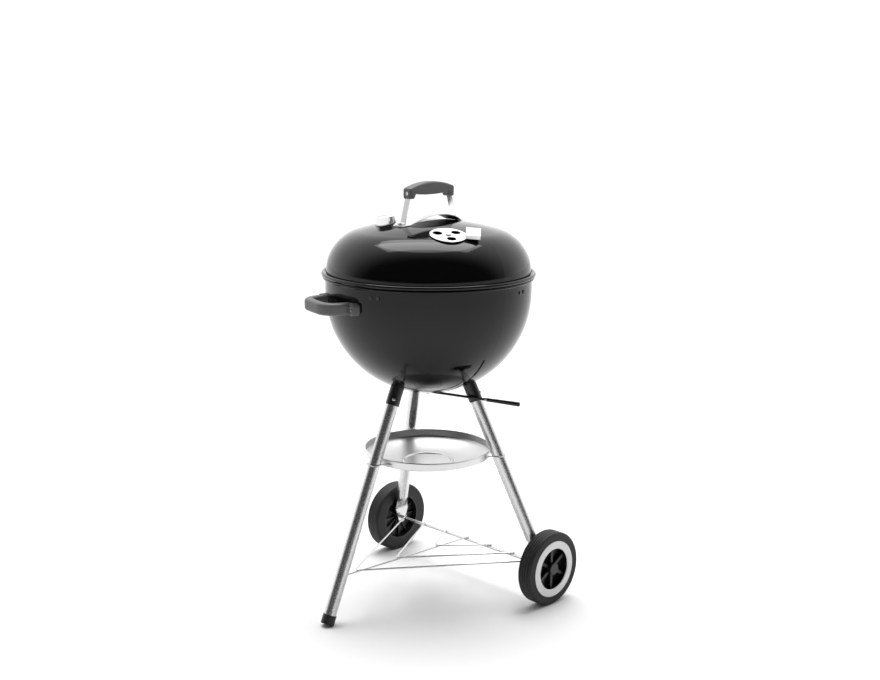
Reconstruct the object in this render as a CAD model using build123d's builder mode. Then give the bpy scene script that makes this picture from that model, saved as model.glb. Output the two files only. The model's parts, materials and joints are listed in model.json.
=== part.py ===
from build123d import *
from math import asin, atan2, cos, degrees, radians, sin, sqrt, tan
import os

# Kettle charcoal grill, in millimetres.
# +Z is up, X runs along the wheel axle and +Y points from the foot leg towards the axle.
# The origin is on the floor, in the middle of the grill's bounding box.

# ---------------------------------------------------------------- driving sizes
RUNNING_GAP = 0.08
SEAT_GAP = 0.1
REST_GAP = 0.3

SHEET = 1.2
BOWL_RADIUS = 235.3
BOWL_BELT_Z = 722.7
BOWL_BEAD = 3.4
VENT_COUNT = 3
VENT_INNER_RADIUS = 40.0
VENT_OUTER_RADIUS = 92.0
VENT_INNER_WIDTH = 14.0
VENT_OUTER_WIDTH = 24.0

LID_RADIUS = 233.3
LID_KNUCKLE = 97.3
LID_CROWN = 589.7
LID_BELT_Z = 766.7
LID_SKIRT = 14.0
LID_FLANGE_RADIUS = 244.0
LID_BEAD = 4.4
LID_BEAD_Z = 763.5

GRIP_LENGTH = 140.0
GRIP_DEPTH = 26.0
GRIP_APEX_Z = 970.0
GRIP_END_Z = 957.0
GRIP_BLOCK_Z = 934.0
GRIP_RECESS_Z = 944.0
GRIP_BULGE_Z = 941.0
GRIP_BLOCK_LENGTH = 15.0
STRAP_WIDTH = 16.0
STRAP_THICK = 2.0
STRAP_FOOT_RADIUS = 90.0
STRAP_TOP_RADIUS = 63.5
STRAP_NECK_RADIUS = 66.0
STRAP_TOP_Z = 953.0
STRAP_BEND = 5.0
GRIP_SCREW_Z = 946.0
GRIP_SCREW_LENGTH = 16.0
SHIELD_THICK = 1.2
SHIELD_CREST_Z = 899.0
SHIELD_HALF_WIDTH = 39.0
SHIELD_HALF_LENGTH = 104.0
TAB_HALF_LENGTH = 9.0
M6 = 6.0
M5 = 5.0

DAMPER_RADIUS = 41.0
DAMPER_THICK = 1.0
DAMPER_AZIMUTH = 332.0
DAMPER_CENTRE = 145.0
DAMPER_HOLES = 3
DAMPER_HOLE_RADIUS = 10.5
DAMPER_HOLE_CIRCLE = 24.0
DAMPER_RIVET_RADIUS = 3.0
DAMPER_TAB_LENGTH = 31.0
DAMPER_TAB_WIDTH = 28.0
DAMPER_TAB_FRONT = 9.0
DAMPER_TAB_BACK = 16.0
DAMPER_TAB_AZIMUTH = 45.0

GAUGE_AZIMUTH = 235.8
GAUGE_CENTRE = 98.0
GAUGE_RADIUS = 24.0
GAUGE_HEIGHT = 17.0
GAUGE_WALL = 1.5
GAUGE_BASE = 12.5
DIAL_THICK = 0.8
LENS_THICK = 1.3
NEEDLE_REACH = 17.0
NEEDLE_WIDTH = 2.0
NEEDLE_THICK = 0.6
NEEDLE_HUB_RADIUS = 3.0
NEEDLE_PIN_RADIUS = 1.0
NEEDLE_PIN_LENGTH = 6.0
STEM_RADIUS = 3.5
STEM_LENGTH = 55.0
STEM_NUT_RADIUS = 8.0
STEM_NUT_HEIGHT = 5.0

SIDE_HANDLE_AZIMUTH = 255.0
SIDE_HANDLE_Z = 708.0
SIDE_HANDLE_REACH = 295.0
SIDE_BAR_HEIGHT = 27.0
SIDE_BAR_THICK = 22.0
SIDE_POST_HALF = 57.0
SIDE_CORNER = 34.0
SIDE_LUG_HALF = 73.8
SIDE_LUG_WIDTH = 22.0
SIDE_LUG_THICK = 13.0

COOKING_GRATE_Z = 733.0
COOKING_GRATE_RADIUS = 222.0
COOKING_RING_WIRE = 3.0
COOKING_BAR_WIRE = 2.25
COOKING_BAR_PITCH = 17.0
CHARCOAL_GRATE_Z = 566.0
CHARCOAL_RING_WIRE = 3.0
CHARCOAL_BAR_WIRE = 2.25
CHARCOAL_BAR_PITCH = 25.0
BRACKET_COUNT = 4
BRACKET_FIRST_AZIMUTH = 285.8
BRACKET_WIDTH = 30.0
BRACKET_THICK = 1.5
BRACKET_REACH = 20.0
BRACKET_RISE = 15.0
BRACKET_RIVET_SPACING = 18.0
RIVET_RADIUS = 2.5
RIVET_HEAD = 4.0
RIVET_HEAD_HEIGHT = 1.5
GRATE_CROSS_WIRE = 2.25
GRATE_CROSS_SHARE = 0.4
GRATE_WELD = 0.8
GRATE_LOOP_HALF = 40.0
GRATE_LOOP_RISE = 26.0

LEG_SPLAY = 23.05
LEG_FOOT_RADIUS = 314.75
LEG_RADIUS = 14.0
LEG_WALL = 1.2
LEG_TOP_CLEAR = 2.5
SOCKET_WALL = 1.6
SOCKET_END_Z = 471.0
BUTTON_RADIUS = 3.6
BUTTON_PROUD = 3.5
BUTTON_FLANGE_RADIUS = 5.5
BUTTON_FLANGE_THICK = 1.5
SPRING_THICK = 0.8
SPRING_WIDTH = 8.0
SPRING_LENGTH = 38.0
BUTTON_TURN = 45.0
BUTTON_Z = 483.0
CAP_WALL = 1.3
CAP_LENGTH = 21.0
CAP_BASE = 3.0
FOOT_FACET = 1.6

WHEEL_RADIUS = 86.0
WHEEL_INNER_X = 236.5
WHEEL_OUTER_X = 274.4
TYRE_BORE = 58.0
TRIM_OUTER_RADIUS = 66.1
TRIM_INNER_RADIUS = 48.4
TRIM_THICK = 2.2
HUB_RIM_WALL = 4.0
HUB_BOSS_RADIUS = 12.0
HUB_BOSS_OUTER_X = 267.5
HUB_WEB_X = 252.0
HUB_WEB_THICK = 4.0
HUB_SPOKES = 6
HUB_SPOKE_DEPTH = 11.0
HUB_SPOKE_WIDTH = 7.0
HUB_RIB_WIDTH = 2.5
HUB_RIB_DEPTH = 6.0
HUB_CAP_RADIUS = 14.0
HUB_CAP_OUTER_X = 275.5
HUB_CAP_WALL = 1.2
HUB_CAP_DEPTH = 12.0
TREAD_GROOVES = 4
TREAD_PITCH = 7.0
TREAD_GROOVE_WIDTH = 1.6
TREAD_GROOVE_DEPTH = 1.6
TYRE_SHOULDER = 6.0
PUSH_NUT_RADIUS = 8.0
PUSH_NUT_THICK = 1.5
AXLE_RADIUS = 4.0
AXLE_REACH = 273.0
AXLE_OFFSET = 140.8
PADDLE_X = 237.0
PADDLE_THICK = 6.0
PADDLE_WIDTH = 42.0
PADDLE_TOP = 25.0
PADDLE_TIP_RADIUS = 13.0
CRIMP_LENGTH = 40.0

SHELF_WIRE = 2.1
SHELF_BAR = 2.5
SHELF_FRONT_Z = 104.0
SHELF_WIRE_OVERHANG = 2.5
SHELF_BAR_HALF = 226.0
SHELF_BEND = 8.0
SHELF_VEES = [("outer", -231.0, 222.0), ("middle", -104.0, 151.0), ("inner", 26.0, 76.6)]

DISH_RIM_Z = 352.0
DISH_RADIUS = 148.4
DISH_BAND = 15.0
DISH_FLOOR_Z = 318.0
DISH_BEAD_RADIUS = 57.0
DISH_BEAD_WIDTH = 8.0
DISH_BEAD_HEIGHT = 2.5
DISH_SHEET = 1.0
DISH_ROLL = 1.6
CLIP_WIRE = 1.2
CLIP_Z = 344.0
CLIP_ARM = 31.0

LEVER_AZIMUTH = 19.0
LEVER_REACH = 230.0
LEVER_WIRE = 3.0
LEVER_PIVOT_Z = 484.1
LEVER_END_Z = 479.3
LEVER_GRIP_LENGTH = 80.0
LEVER_PLATE_HALF = 17.0
LEVER_PLATE_WIDTH = 16.0
LEVER_PLATE_THICK = 2.0
LEVER_NUT_SPACING = 11.0
LEVER_NUT_RADIUS = 4.5
LEVER_NUT_HEIGHT = 3.5
FERRULE_LENGTH = 5.0
FERRULE_WALL = 1.0
LEVER_GRIP_RADIUS = 5.0
SWEEPER_REACH = 104.0
SWEEPER_OUTER_WIDTH = 54.0
SWEEPER_INNER_WIDTH = 26.0
SWEEPER_HUB_RADIUS = 18.0
SWEEPER_GAP = 0.5
SWEEPER_THICK = 1.2
SHAFT_RADIUS = 4.0
SHAFT_END_RADIUS = 3.0
SHAFT_TOP = 8.0

# ---------------------------------------------------------------- sizes that follow
SPLAY_SIN = sin(radians(LEG_SPLAY))
SPLAY_COS = cos(radians(LEG_SPLAY))
CAP_RADIUS = LEG_RADIUS + SEAT_GAP + CAP_WALL
CAP_START = (CAP_RADIUS * SPLAY_SIN - FOOT_FACET) / SPLAY_COS
FOOT_REACH = LEG_FOOT_RADIUS - CAP_START * SPLAY_SIN + CAP_RADIUS * SPLAY_COS
KETTLE_Y = (FOOT_REACH - LID_FLANGE_RADIUS) / 2
AXLE_Y = KETTLE_Y + AXLE_OFFSET
AXLE_Z = WHEEL_RADIUS
LEG_AZIMUTHS = {"front": 270.0, "right": 30.0, "left": 150.0}
VENT_FIRST_AZIMUTH = 90.0
BOWL_BEAD_RADIUS = BOWL_RADIUS - SHEET / 2 + BOWL_BEAD - SEAT_GAP
LID_BEAD_RADIUS = LID_FLANGE_RADIUS - LID_BEAD
BEAD_SPACING = LID_BEAD + BOWL_BEAD + REST_GAP
BOWL_BEAD_Z = LID_BEAD_Z - sqrt(BEAD_SPACING**2 - (LID_BEAD_RADIUS - BOWL_BEAD_RADIUS) ** 2)
LID_CROWN_Z = LID_BELT_Z - sqrt((LID_CROWN - LID_KNUCKLE) ** 2 - (LID_RADIUS - LID_KNUCKLE) ** 2)
SOCKET_BORE = LEG_RADIUS + SEAT_GAP
SOCKET_RADIUS = SOCKET_BORE + SOCKET_WALL

os.makedirs("parts", exist_ok=True)


# ---------------------------------------------------------------- places and helpers
def around(azimuth, radius, height=0.0):
    """A point at an azimuth and radius about the kettle's axis."""
    angle = radians(azimuth)
    return Vector(radius * cos(angle), KETTLE_Y + radius * sin(angle), height)


def radial_plane(azimuth):
    """The upright plane through the kettle's axis: local x runs outward, local y up."""
    angle = radians(azimuth)
    return Plane(origin=(0, KETTLE_Y, 0), x_dir=(cos(angle), sin(angle), 0), z_dir=(sin(angle), -cos(angle), 0))


def level_plane(height, azimuth=0.0):
    """A level plane about the kettle's axis, with local x turned to an azimuth."""
    angle = radians(azimuth)
    return Plane(origin=(0, KETTLE_Y, height), x_dir=(cos(angle), sin(angle), 0), z_dir=(0, 0, 1))


def leg_plane(azimuth, along):
    """The plane square to a leg: local x points outward, local y sideways, local z up the leg."""
    angle = radians(azimuth)
    origin = around(azimuth, LEG_FOOT_RADIUS - along * SPLAY_SIN, along * SPLAY_COS)
    up = (-SPLAY_SIN * cos(angle), -SPLAY_SIN * sin(angle), SPLAY_COS)
    out = (SPLAY_COS * cos(angle), SPLAY_COS * sin(angle), SPLAY_SIN)
    return Plane(origin=origin, x_dir=out, z_dir=up)


def button_plane(azimuth):
    """The plane square to a leg's push button: local z points out of the leg along the button."""
    leg = leg_plane(azimuth, BUTTON_Z / SPLAY_COS)
    turn = radians(BUTTON_TURN)
    out = leg.x_dir * cos(turn) + leg.y_dir * sin(turn)
    return Plane(origin=leg.origin, x_dir=leg.z_dir, z_dir=out)


def button_side_plane(azimuth):
    """The plane along a leg through its push button: local x runs up the leg, local y out along the button."""
    button = button_plane(azimuth)
    return Plane(origin=button.origin, x_dir=button.x_dir, z_dir=button.x_dir.cross(button.z_dir))


def dome_plane(azimuth, radius, lift=0.0):
    """The plane tangent to the lid's crown at a radius: local x runs outward, local z leaves the lid."""
    angle = radians(azimuth)
    tilt = asin(radius / LID_CROWN)
    normal = Vector(sin(tilt) * cos(angle), sin(tilt) * sin(angle), cos(tilt))
    out = Vector(cos(tilt) * cos(angle), cos(tilt) * sin(angle), -sin(tilt))
    centre = Vector(0, KETTLE_Y, LID_CROWN_Z)
    return Plane(origin=centre + normal * (LID_CROWN + lift), x_dir=out, z_dir=normal)


def bowl_height(radius, inset=0.0):
    """Height of the bowl's outer skin, or of a skin set in from it, at a radius."""
    return BOWL_BELT_Z - sqrt((BOWL_RADIUS - inset) ** 2 - radius**2)


def bowl_radius_at(height, inset=0.0):
    """Radius of the bowl's outer skin, or of a skin set in from it, at a height."""
    if height > BOWL_BELT_Z:
        return BOWL_RADIUS - inset
    return sqrt((BOWL_RADIUS - inset) ** 2 - (BOWL_BELT_Z - height) ** 2)


def finish(part, name):
    """Label a finished piece and write it to its own file."""
    part.label = name
    export_step(part, f"parts/{name}.step")


KETTLE_AXIS = Axis((0, KETTLE_Y, 0), (0, 0, 1))
AXLE_AXIS = Axis((0, AXLE_Y, AXLE_Z), (1, 0, 0))
SECTION = radial_plane(0)
HANDLE_SECTION = radial_plane(90)


def bowl_body(inset):
    """A closed solid bounded by the bowl's outer skin, or by a skin set in from it."""
    with BuildPart() as body:
        with BuildSketch(SECTION):
            with BuildLine():
                CenterArc((0, BOWL_BELT_Z), BOWL_RADIUS - inset, 270, 90)
                Polyline(
                    (BOWL_RADIUS - inset, BOWL_BELT_Z),
                    (BOWL_RADIUS - inset, BOWL_BEAD_Z),
                    (0, BOWL_BEAD_Z),
                    (0, BOWL_BELT_Z - BOWL_RADIUS + inset),
                )
            make_face()
        revolve(axis=KETTLE_AXIS)
    return body.part


def lid_body(inset):
    """A closed solid bounded by the lid's outer skin, or by a skin set in from it."""
    crown = LID_CROWN - inset
    knuckle = LID_KNUCKLE - inset
    lean = atan2(LID_RADIUS - LID_KNUCKLE, LID_BELT_Z - LID_CROWN_Z)
    join = (crown * sin(lean), LID_CROWN_Z + crown * cos(lean))
    knuckle_centre = (LID_RADIUS - LID_KNUCKLE, LID_BELT_Z)
    with BuildPart() as body:
        with BuildSketch(SECTION):
            with BuildLine():
                CenterArc((0, LID_CROWN_Z), crown, 90 - degrees(lean), degrees(lean))
                CenterArc(knuckle_centre, knuckle, 0, 90 - degrees(lean))
                Polyline(
                    (LID_RADIUS - inset, LID_BELT_Z),
                    (LID_RADIUS - inset, LID_BEAD_Z - LID_SKIRT),
                    (0, LID_BEAD_Z - LID_SKIRT),
                    (0, LID_CROWN_Z + crown),
                )
            make_face()
        revolve(axis=KETTLE_AXIS)
    return body.part


def facing_plane(azimuth, distance, height):
    """The upright plane that faces away from the kettle's axis: local x runs round it, local y up."""
    angle = radians(azimuth)
    return Plane(
        origin=around(azimuth, distance, height), x_dir=(-sin(angle), cos(angle), 0), z_dir=(cos(angle), sin(angle), 0)
    )


def shifted(place, x=0.0, y=0.0, z=0.0):
    """A plane moved along its own axes."""
    return Plane(place.location * Location((x, y, z)))


def add_rod(place, radius, start, end):
    """Add a round bar to the part being built, along the normal of a plane."""
    with BuildSketch(place.offset(start)) as outline:
        Circle(radius)
    extrude(outline.sketch, amount=end - start)


def cut_hole(place, radius, start, end):
    """Cut a round hole in the part being built, along the normal of a plane."""
    with BuildSketch(place.offset(start)) as outline:
        Circle(radius)
    extrude(outline.sketch, amount=end - start, mode=Mode.SUBTRACT)


def add_nut(place, radius, bore, start, end):
    """Add a hexagon nut to the part being built, along the normal of a plane."""
    with BuildSketch(place.offset(start)) as outline:
        RegularPolygon(radius, 6)
        Circle(bore, mode=Mode.SUBTRACT)
    extrude(outline.sketch, amount=end - start)


def add_wire(points, radius, bends):
    """Add a bent round wire to the part being built, through a list of points."""
    with BuildLine() as run:
        FilletPolyline(*points, radius=bends)
    with BuildSketch(Plane(origin=run.line @ 0, z_dir=run.line % 0)) as outline:
        Circle(radius)
    sweep(outline.sketch, path=run.line)


# ---------------------------------------------------------------- bowl
bowl_clear = bowl_body(-SEAT_GAP)
side_place = facing_plane(SIDE_HANDLE_AZIMUTH, 0, SIDE_HANDLE_Z)
side_skin = bowl_radius_at(SIDE_HANDLE_Z)
side_lug_x = sqrt(side_skin**2 - SIDE_LUG_HALF**2) + SIDE_LUG_THICK
side_screws = [shifted(side_place, x=side * SIDE_LUG_HALF) for side in (-1, 1)]

bracket_ledge_z = COOKING_GRATE_Z - COOKING_RING_WIRE - REST_GAP
bracket_rivet_z = bracket_ledge_z + BRACKET_RISE / 2
bracket_rivets = [
    shifted(facing_plane(BRACKET_FIRST_AZIMUTH + i * 360 / BRACKET_COUNT, 0, bracket_rivet_z), x=side)
    for i in range(BRACKET_COUNT)
    for side in (-BRACKET_RIVET_SPACING / 2, BRACKET_RIVET_SPACING / 2)
]
bracket_face = sqrt((BOWL_RADIUS - SHEET) ** 2 - (BRACKET_WIDTH / 2) ** 2) - SEAT_GAP
shaft_place = level_plane(0)
bowl_bottom_z = BOWL_BELT_Z - BOWL_RADIUS

with BuildPart() as bowl_shell:
    with BuildSketch(SECTION):
        with BuildLine():
            CenterArc((0, BOWL_BELT_Z), BOWL_RADIUS, 270, 90)
            Polyline(
                (BOWL_RADIUS, BOWL_BELT_Z),
                (BOWL_RADIUS, BOWL_BEAD_Z),
                (BOWL_RADIUS - SHEET, BOWL_BEAD_Z),
                (BOWL_RADIUS - SHEET, BOWL_BELT_Z),
            )
            CenterArc((0, BOWL_BELT_Z), BOWL_RADIUS - SHEET, 270, 90)
            Line((0, bowl_bottom_z), (0, bowl_bottom_z + SHEET))
        make_face()
        with Locations((BOWL_BEAD_RADIUS, BOWL_BEAD_Z)):
            Circle(BOWL_BEAD)
    revolve(axis=KETTLE_AXIS)
    for i in range(VENT_COUNT):
        with BuildSketch(level_plane(bowl_bottom_z - SHEET, VENT_FIRST_AZIMUTH + i * 360 / VENT_COUNT)):
            with BuildLine():
                Polyline(
                    (VENT_INNER_RADIUS, -VENT_INNER_WIDTH / 2),
                    (VENT_OUTER_RADIUS, -VENT_OUTER_WIDTH / 2),
                    (VENT_OUTER_RADIUS, VENT_OUTER_WIDTH / 2),
                    (VENT_INNER_RADIUS, VENT_INNER_WIDTH / 2),
                    close=True,
                )
            vent = make_face()
            fillet(vent.vertices(), radius=VENT_INNER_WIDTH / 3)
        extrude(amount=VENT_OUTER_RADIUS / 2, mode=Mode.SUBTRACT)
    cut_hole(shaft_place, SHAFT_RADIUS + RUNNING_GAP, bowl_bottom_z - SHEET, bowl_bottom_z + 3 * SHEET)
    for place in side_screws:
        cut_hole(place, M6 / 2 + SEAT_GAP, BOWL_RADIUS - 2 * SIDE_LUG_THICK, BOWL_RADIUS)
    for place in bracket_rivets:
        cut_hole(place, RIVET_RADIUS + SEAT_GAP, BOWL_RADIUS - 3 * SHEET, BOWL_RADIUS + SHEET)
finish(bowl_shell.part, "bowl_shell")

with BuildPart() as grate_brackets:
    for i in range(BRACKET_COUNT):
        with BuildSketch(radial_plane(BRACKET_FIRST_AZIMUTH + i * 360 / BRACKET_COUNT)):
            with BuildLine():
                Polyline(
                    (bracket_face, bracket_ledge_z + BRACKET_RISE),
                    (bracket_face, bracket_ledge_z - BRACKET_THICK),
                    (bracket_face - BRACKET_REACH, bracket_ledge_z - BRACKET_THICK),
                    (bracket_face - BRACKET_REACH, bracket_ledge_z),
                    (bracket_face - BRACKET_THICK, bracket_ledge_z),
                    (bracket_face - BRACKET_THICK, bracket_ledge_z + BRACKET_RISE),
                    close=True,
                )
            make_face()
        extrude(amount=BRACKET_WIDTH / 2, both=True)
    for place in bracket_rivets:
        cut_hole(place, RIVET_RADIUS + SEAT_GAP, bracket_face - 2 * BRACKET_THICK, bracket_face + BRACKET_THICK)
finish(grate_brackets.part, "grate_brackets")

rivet_outer = BOWL_RADIUS + SEAT_GAP
rivet_inner = bracket_face - BRACKET_THICK - SEAT_GAP
with BuildPart() as grate_bracket_rivets:
    for place in bracket_rivets:
        add_rod(place, RIVET_RADIUS, rivet_inner - RIVET_HEAD_HEIGHT, rivet_outer + RIVET_HEAD_HEIGHT)
        add_rod(place, RIVET_HEAD, rivet_outer, rivet_outer + RIVET_HEAD_HEIGHT)
        add_rod(place, RIVET_HEAD, rivet_inner - RIVET_HEAD_HEIGHT, rivet_inner)
finish(grate_bracket_rivets.part, "grate_bracket_rivets")

# ---------------------------------------------------------------- side handle
side_level = level_plane(SIDE_HANDLE_Z, SIDE_HANDLE_AZIMUTH)
side_bar_x = SIDE_HANDLE_REACH - SIDE_BAR_THICK / 2
side_root_x = side_skin - SIDE_BAR_THICK - SIDE_POST_HALF / 4
with BuildPart() as side_handle_grip:
    with BuildLine(side_level) as side_run:
        FilletPolyline(
            (side_root_x, -SIDE_POST_HALF),
            (side_bar_x, -SIDE_POST_HALF),
            (side_bar_x, SIDE_POST_HALF),
            (side_root_x, SIDE_POST_HALF),
            radius=SIDE_CORNER,
        )
    with BuildSketch(shifted(side_place, x=-SIDE_POST_HALF, z=side_root_x)):
        RectangleRounded(SIDE_BAR_THICK, SIDE_BAR_HEIGHT, SIDE_BAR_THICK / 3)
    sweep(path=side_run.line)
    for place in side_screws:
        with BuildSketch(place.offset(side_lug_x)):
            RectangleRounded(SIDE_LUG_WIDTH, SIDE_BAR_HEIGHT, SIDE_LUG_WIDTH / 3)
        extrude(amount=-3 * SIDE_LUG_THICK)
    add(bowl_clear, mode=Mode.SUBTRACT)
    for place in side_screws:
        cut_hole(place, M6 / 2 + SEAT_GAP, side_root_x, side_lug_x)
finish(side_handle_grip.part, "side_handle_grip")

side_nut_x = sqrt((side_skin - SHEET) ** 2 - (SIDE_LUG_HALF + M6) ** 2) - REST_GAP
with BuildPart() as side_handle_screws:
    for place in side_screws:
        add_rod(place, M6 / 2, side_nut_x - M6 - 1, side_lug_x + SEAT_GAP)
        add_rod(place, M6 * 0.9, side_lug_x + SEAT_GAP, side_lug_x + SEAT_GAP + M6 / 2)
finish(side_handle_screws.part, "side_handle_screws")

with BuildPart() as side_handle_nuts:
    for place in side_screws:
        add_nut(place, M6, M6 / 2 + SEAT_GAP, side_nut_x - M6, side_nut_x)
finish(side_handle_nuts.part, "side_handle_nuts")

# ---------------------------------------------------------------- lid
strap_azimuths = {"front": 270, "rear": 90}
strap_bolts = [dome_plane(azimuth, STRAP_FOOT_RADIUS) for azimuth in strap_azimuths.values()]
damper_place = dome_plane(DAMPER_AZIMUTH, DAMPER_CENTRE)
gauge_place = dome_plane(GAUGE_AZIMUTH, GAUGE_CENTRE)
with BuildPart() as lid_shell:
    add(lid_body(0))
    with BuildSketch(SECTION):
        with Locations((LID_BEAD_RADIUS, LID_BEAD_Z)):
            Circle(LID_BEAD)
        with Locations(((LID_RADIUS + LID_BEAD_RADIUS - SHEET) / 2, LID_BEAD_Z)):
            Rectangle(LID_BEAD_RADIUS - LID_RADIUS + SHEET, SHEET)
    revolve(axis=KETTLE_AXIS)
    add(lid_body(SHEET), mode=Mode.SUBTRACT)
    for place in strap_bolts:
        cut_hole(place, M6 / 2 + SEAT_GAP, -2 * SHEET, SHEET)
    cut_hole(damper_place, DAMPER_RIVET_RADIUS + SEAT_GAP, -2 * SHEET, SHEET)
    with BuildSketch(damper_place.offset(-4 * SHEET)):
        with PolarLocations(DAMPER_HOLE_CIRCLE, DAMPER_HOLES):
            Circle(DAMPER_HOLE_RADIUS)
    extrude(amount=6 * SHEET, mode=Mode.SUBTRACT)
    cut_hole(gauge_place, STEM_RADIUS + SEAT_GAP, -2 * SHEET, SHEET)
finish(lid_shell.part, "lid_shell")


def handle_point(radius, lift, along=0.0):
    """A point in the handle's section, on the lid's tangent line at a radius, lifted off the lid."""
    tilt = asin(radius / LID_CROWN)
    reach = LID_CROWN + lift
    x = reach * sin(tilt) + along * cos(tilt)
    return (x, LID_CROWN_Z + reach * cos(tilt) - along * sin(tilt))


shield_lift = 2 * SEAT_GAP
strap_lift = shield_lift + SHIELD_THICK + SEAT_GAP
shield_tab = [handle_point(STRAP_FOOT_RADIUS, shield_lift + SHIELD_THICK / 2, a) for a in (-TAB_HALF_LENGTH, TAB_HALF_LENGTH)]
with BuildPart() as lid_heat_shield:
    with BuildSketch(HANDLE_SECTION):
        with BuildLine():
            Line((-shield_tab[1][0], shield_tab[1][1]), (-shield_tab[0][0], shield_tab[0][1]))
            ThreePointArc(
                (-shield_tab[0][0], shield_tab[0][1]), (0, SHIELD_CREST_Z - SHIELD_THICK / 2), shield_tab[0]
            )
            Line(*shield_tab)
            offset(amount=SHIELD_THICK / 2)
        make_face()
    extrude(amount=SHIELD_HALF_WIDTH, both=True)
    with BuildSketch(level_plane(LID_BELT_Z)):
        Ellipse(SHIELD_HALF_WIDTH, SHIELD_HALF_LENGTH)
    extrude(amount=GRIP_APEX_Z - LID_BELT_Z, mode=Mode.INTERSECT)
    for place in strap_bolts:
        cut_hole(place, M6 / 2 + SEAT_GAP, -SHEET, 3 * SHEET)
finish(lid_heat_shield.part, "lid_heat_shield")

strap_line = [
    handle_point(STRAP_FOOT_RADIUS, strap_lift + STRAP_THICK / 2, TAB_HALF_LENGTH - STRAP_THICK / 2),
    handle_point(STRAP_FOOT_RADIUS, strap_lift + STRAP_THICK / 2, -TAB_HALF_LENGTH),
    (STRAP_NECK_RADIUS, GRIP_BLOCK_Z),
    (STRAP_TOP_RADIUS, STRAP_TOP_Z),
]


def add_strap(azimuth, spare, mode):
    """Add or cut one handle strap, with spare room all round it, in the part being built."""
    with BuildSketch(radial_plane(azimuth)) as outline:
        with BuildLine():
            FilletPolyline(*strap_line, radius=STRAP_BEND)
            offset(amount=STRAP_THICK / 2 + spare)
        make_face()
    extrude(outline.sketch, amount=STRAP_WIDTH / 2 + spare, both=True, mode=mode)


def grip_screw_place(azimuth):
    """The plane of a handle screw, with its normal pointing out of the grip's end."""
    return facing_plane(azimuth, 0, GRIP_SCREW_Z)


for name, azimuth in strap_azimuths.items():
    with BuildPart() as lid_strap:
        add_strap(azimuth, 0, Mode.ADD)
        cut_hole(dome_plane(azimuth, STRAP_FOOT_RADIUS), M6 / 2 + SEAT_GAP, 0, 3 * STRAP_THICK)
        cut_hole(grip_screw_place(azimuth), M5 / 2 + SEAT_GAP, GRIP_LENGTH / 3, GRIP_LENGTH / 2)
    finish(lid_strap.part, f"lid_strap_{name}")

grip_half = GRIP_LENGTH / 2
grip_neck = grip_half - GRIP_BLOCK_LENGTH
with BuildPart() as lid_handle_grip:
    with BuildSketch(HANDLE_SECTION):
        with BuildLine():
            ThreePointArc((-grip_half, GRIP_END_Z), (0, GRIP_APEX_Z), (grip_half, GRIP_END_Z))
            Polyline(
                (grip_half, GRIP_END_Z),
                (grip_half, GRIP_BLOCK_Z),
                (grip_neck, GRIP_BLOCK_Z),
                (grip_neck - 4, GRIP_RECESS_Z),
            )
            ThreePointArc((grip_neck - 4, GRIP_RECESS_Z), (0, GRIP_BULGE_Z), (4 - grip_neck, GRIP_RECESS_Z))
            Polyline(
                (4 - grip_neck, GRIP_RECESS_Z),
                (-grip_neck, GRIP_BLOCK_Z),
                (-grip_half, GRIP_BLOCK_Z),
                (-grip_half, GRIP_END_Z),
            )
        grip_face = make_face()
        fillet(grip_face.vertices(), radius=4)
    extrude(amount=GRIP_DEPTH / 2, both=True)
    fillet(lid_handle_grip.faces().sort_by(Axis.X)[-1].edges(), radius=5)
    fillet(lid_handle_grip.faces().sort_by(Axis.X)[0].edges(), radius=5)
    for azimuth in strap_azimuths.values():
        add_strap(azimuth, 2 * SEAT_GAP, Mode.SUBTRACT)
        place = grip_screw_place(azimuth)
        cut_hole(place, M5 / 2 + SEAT_GAP, grip_half - GRIP_SCREW_LENGTH - 4, grip_half)
        cut_hole(place, M5 - SEAT_GAP, grip_half - M5 / 2 - 1, grip_half)
finish(lid_handle_grip.part, "lid_handle_grip")

screw_head = grip_half - M5 / 2 - 1 + SEAT_GAP
with BuildPart() as lid_grip_screws:
    for azimuth in strap_azimuths.values():
        place = grip_screw_place(azimuth)
        add_rod(place, M5 / 2, grip_half - GRIP_SCREW_LENGTH - 3, screw_head)
        add_rod(place, M5 * 0.9, screw_head, screw_head + M5 / 2)
finish(lid_grip_screws.part, "lid_grip_screws")

bolt_seat = strap_lift + STRAP_THICK + SEAT_GAP
with BuildPart() as lid_strap_bolts:
    for place in strap_bolts:
        add_rod(place, M6 / 2, -SHEET - M6 - 2, bolt_seat)
        add_rod(place, M6 * 0.85, bolt_seat, bolt_seat + M6 / 2)
finish(lid_strap_bolts.part, "lid_strap_bolts")

with BuildPart() as lid_strap_nuts:
    for place in strap_bolts:
        add_nut(place, M6, M6 / 2 + SEAT_GAP, -SHEET - REST_GAP - M6 * 0.8, -SHEET - REST_GAP)
finish(lid_strap_nuts.part, "lid_strap_nuts")

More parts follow.
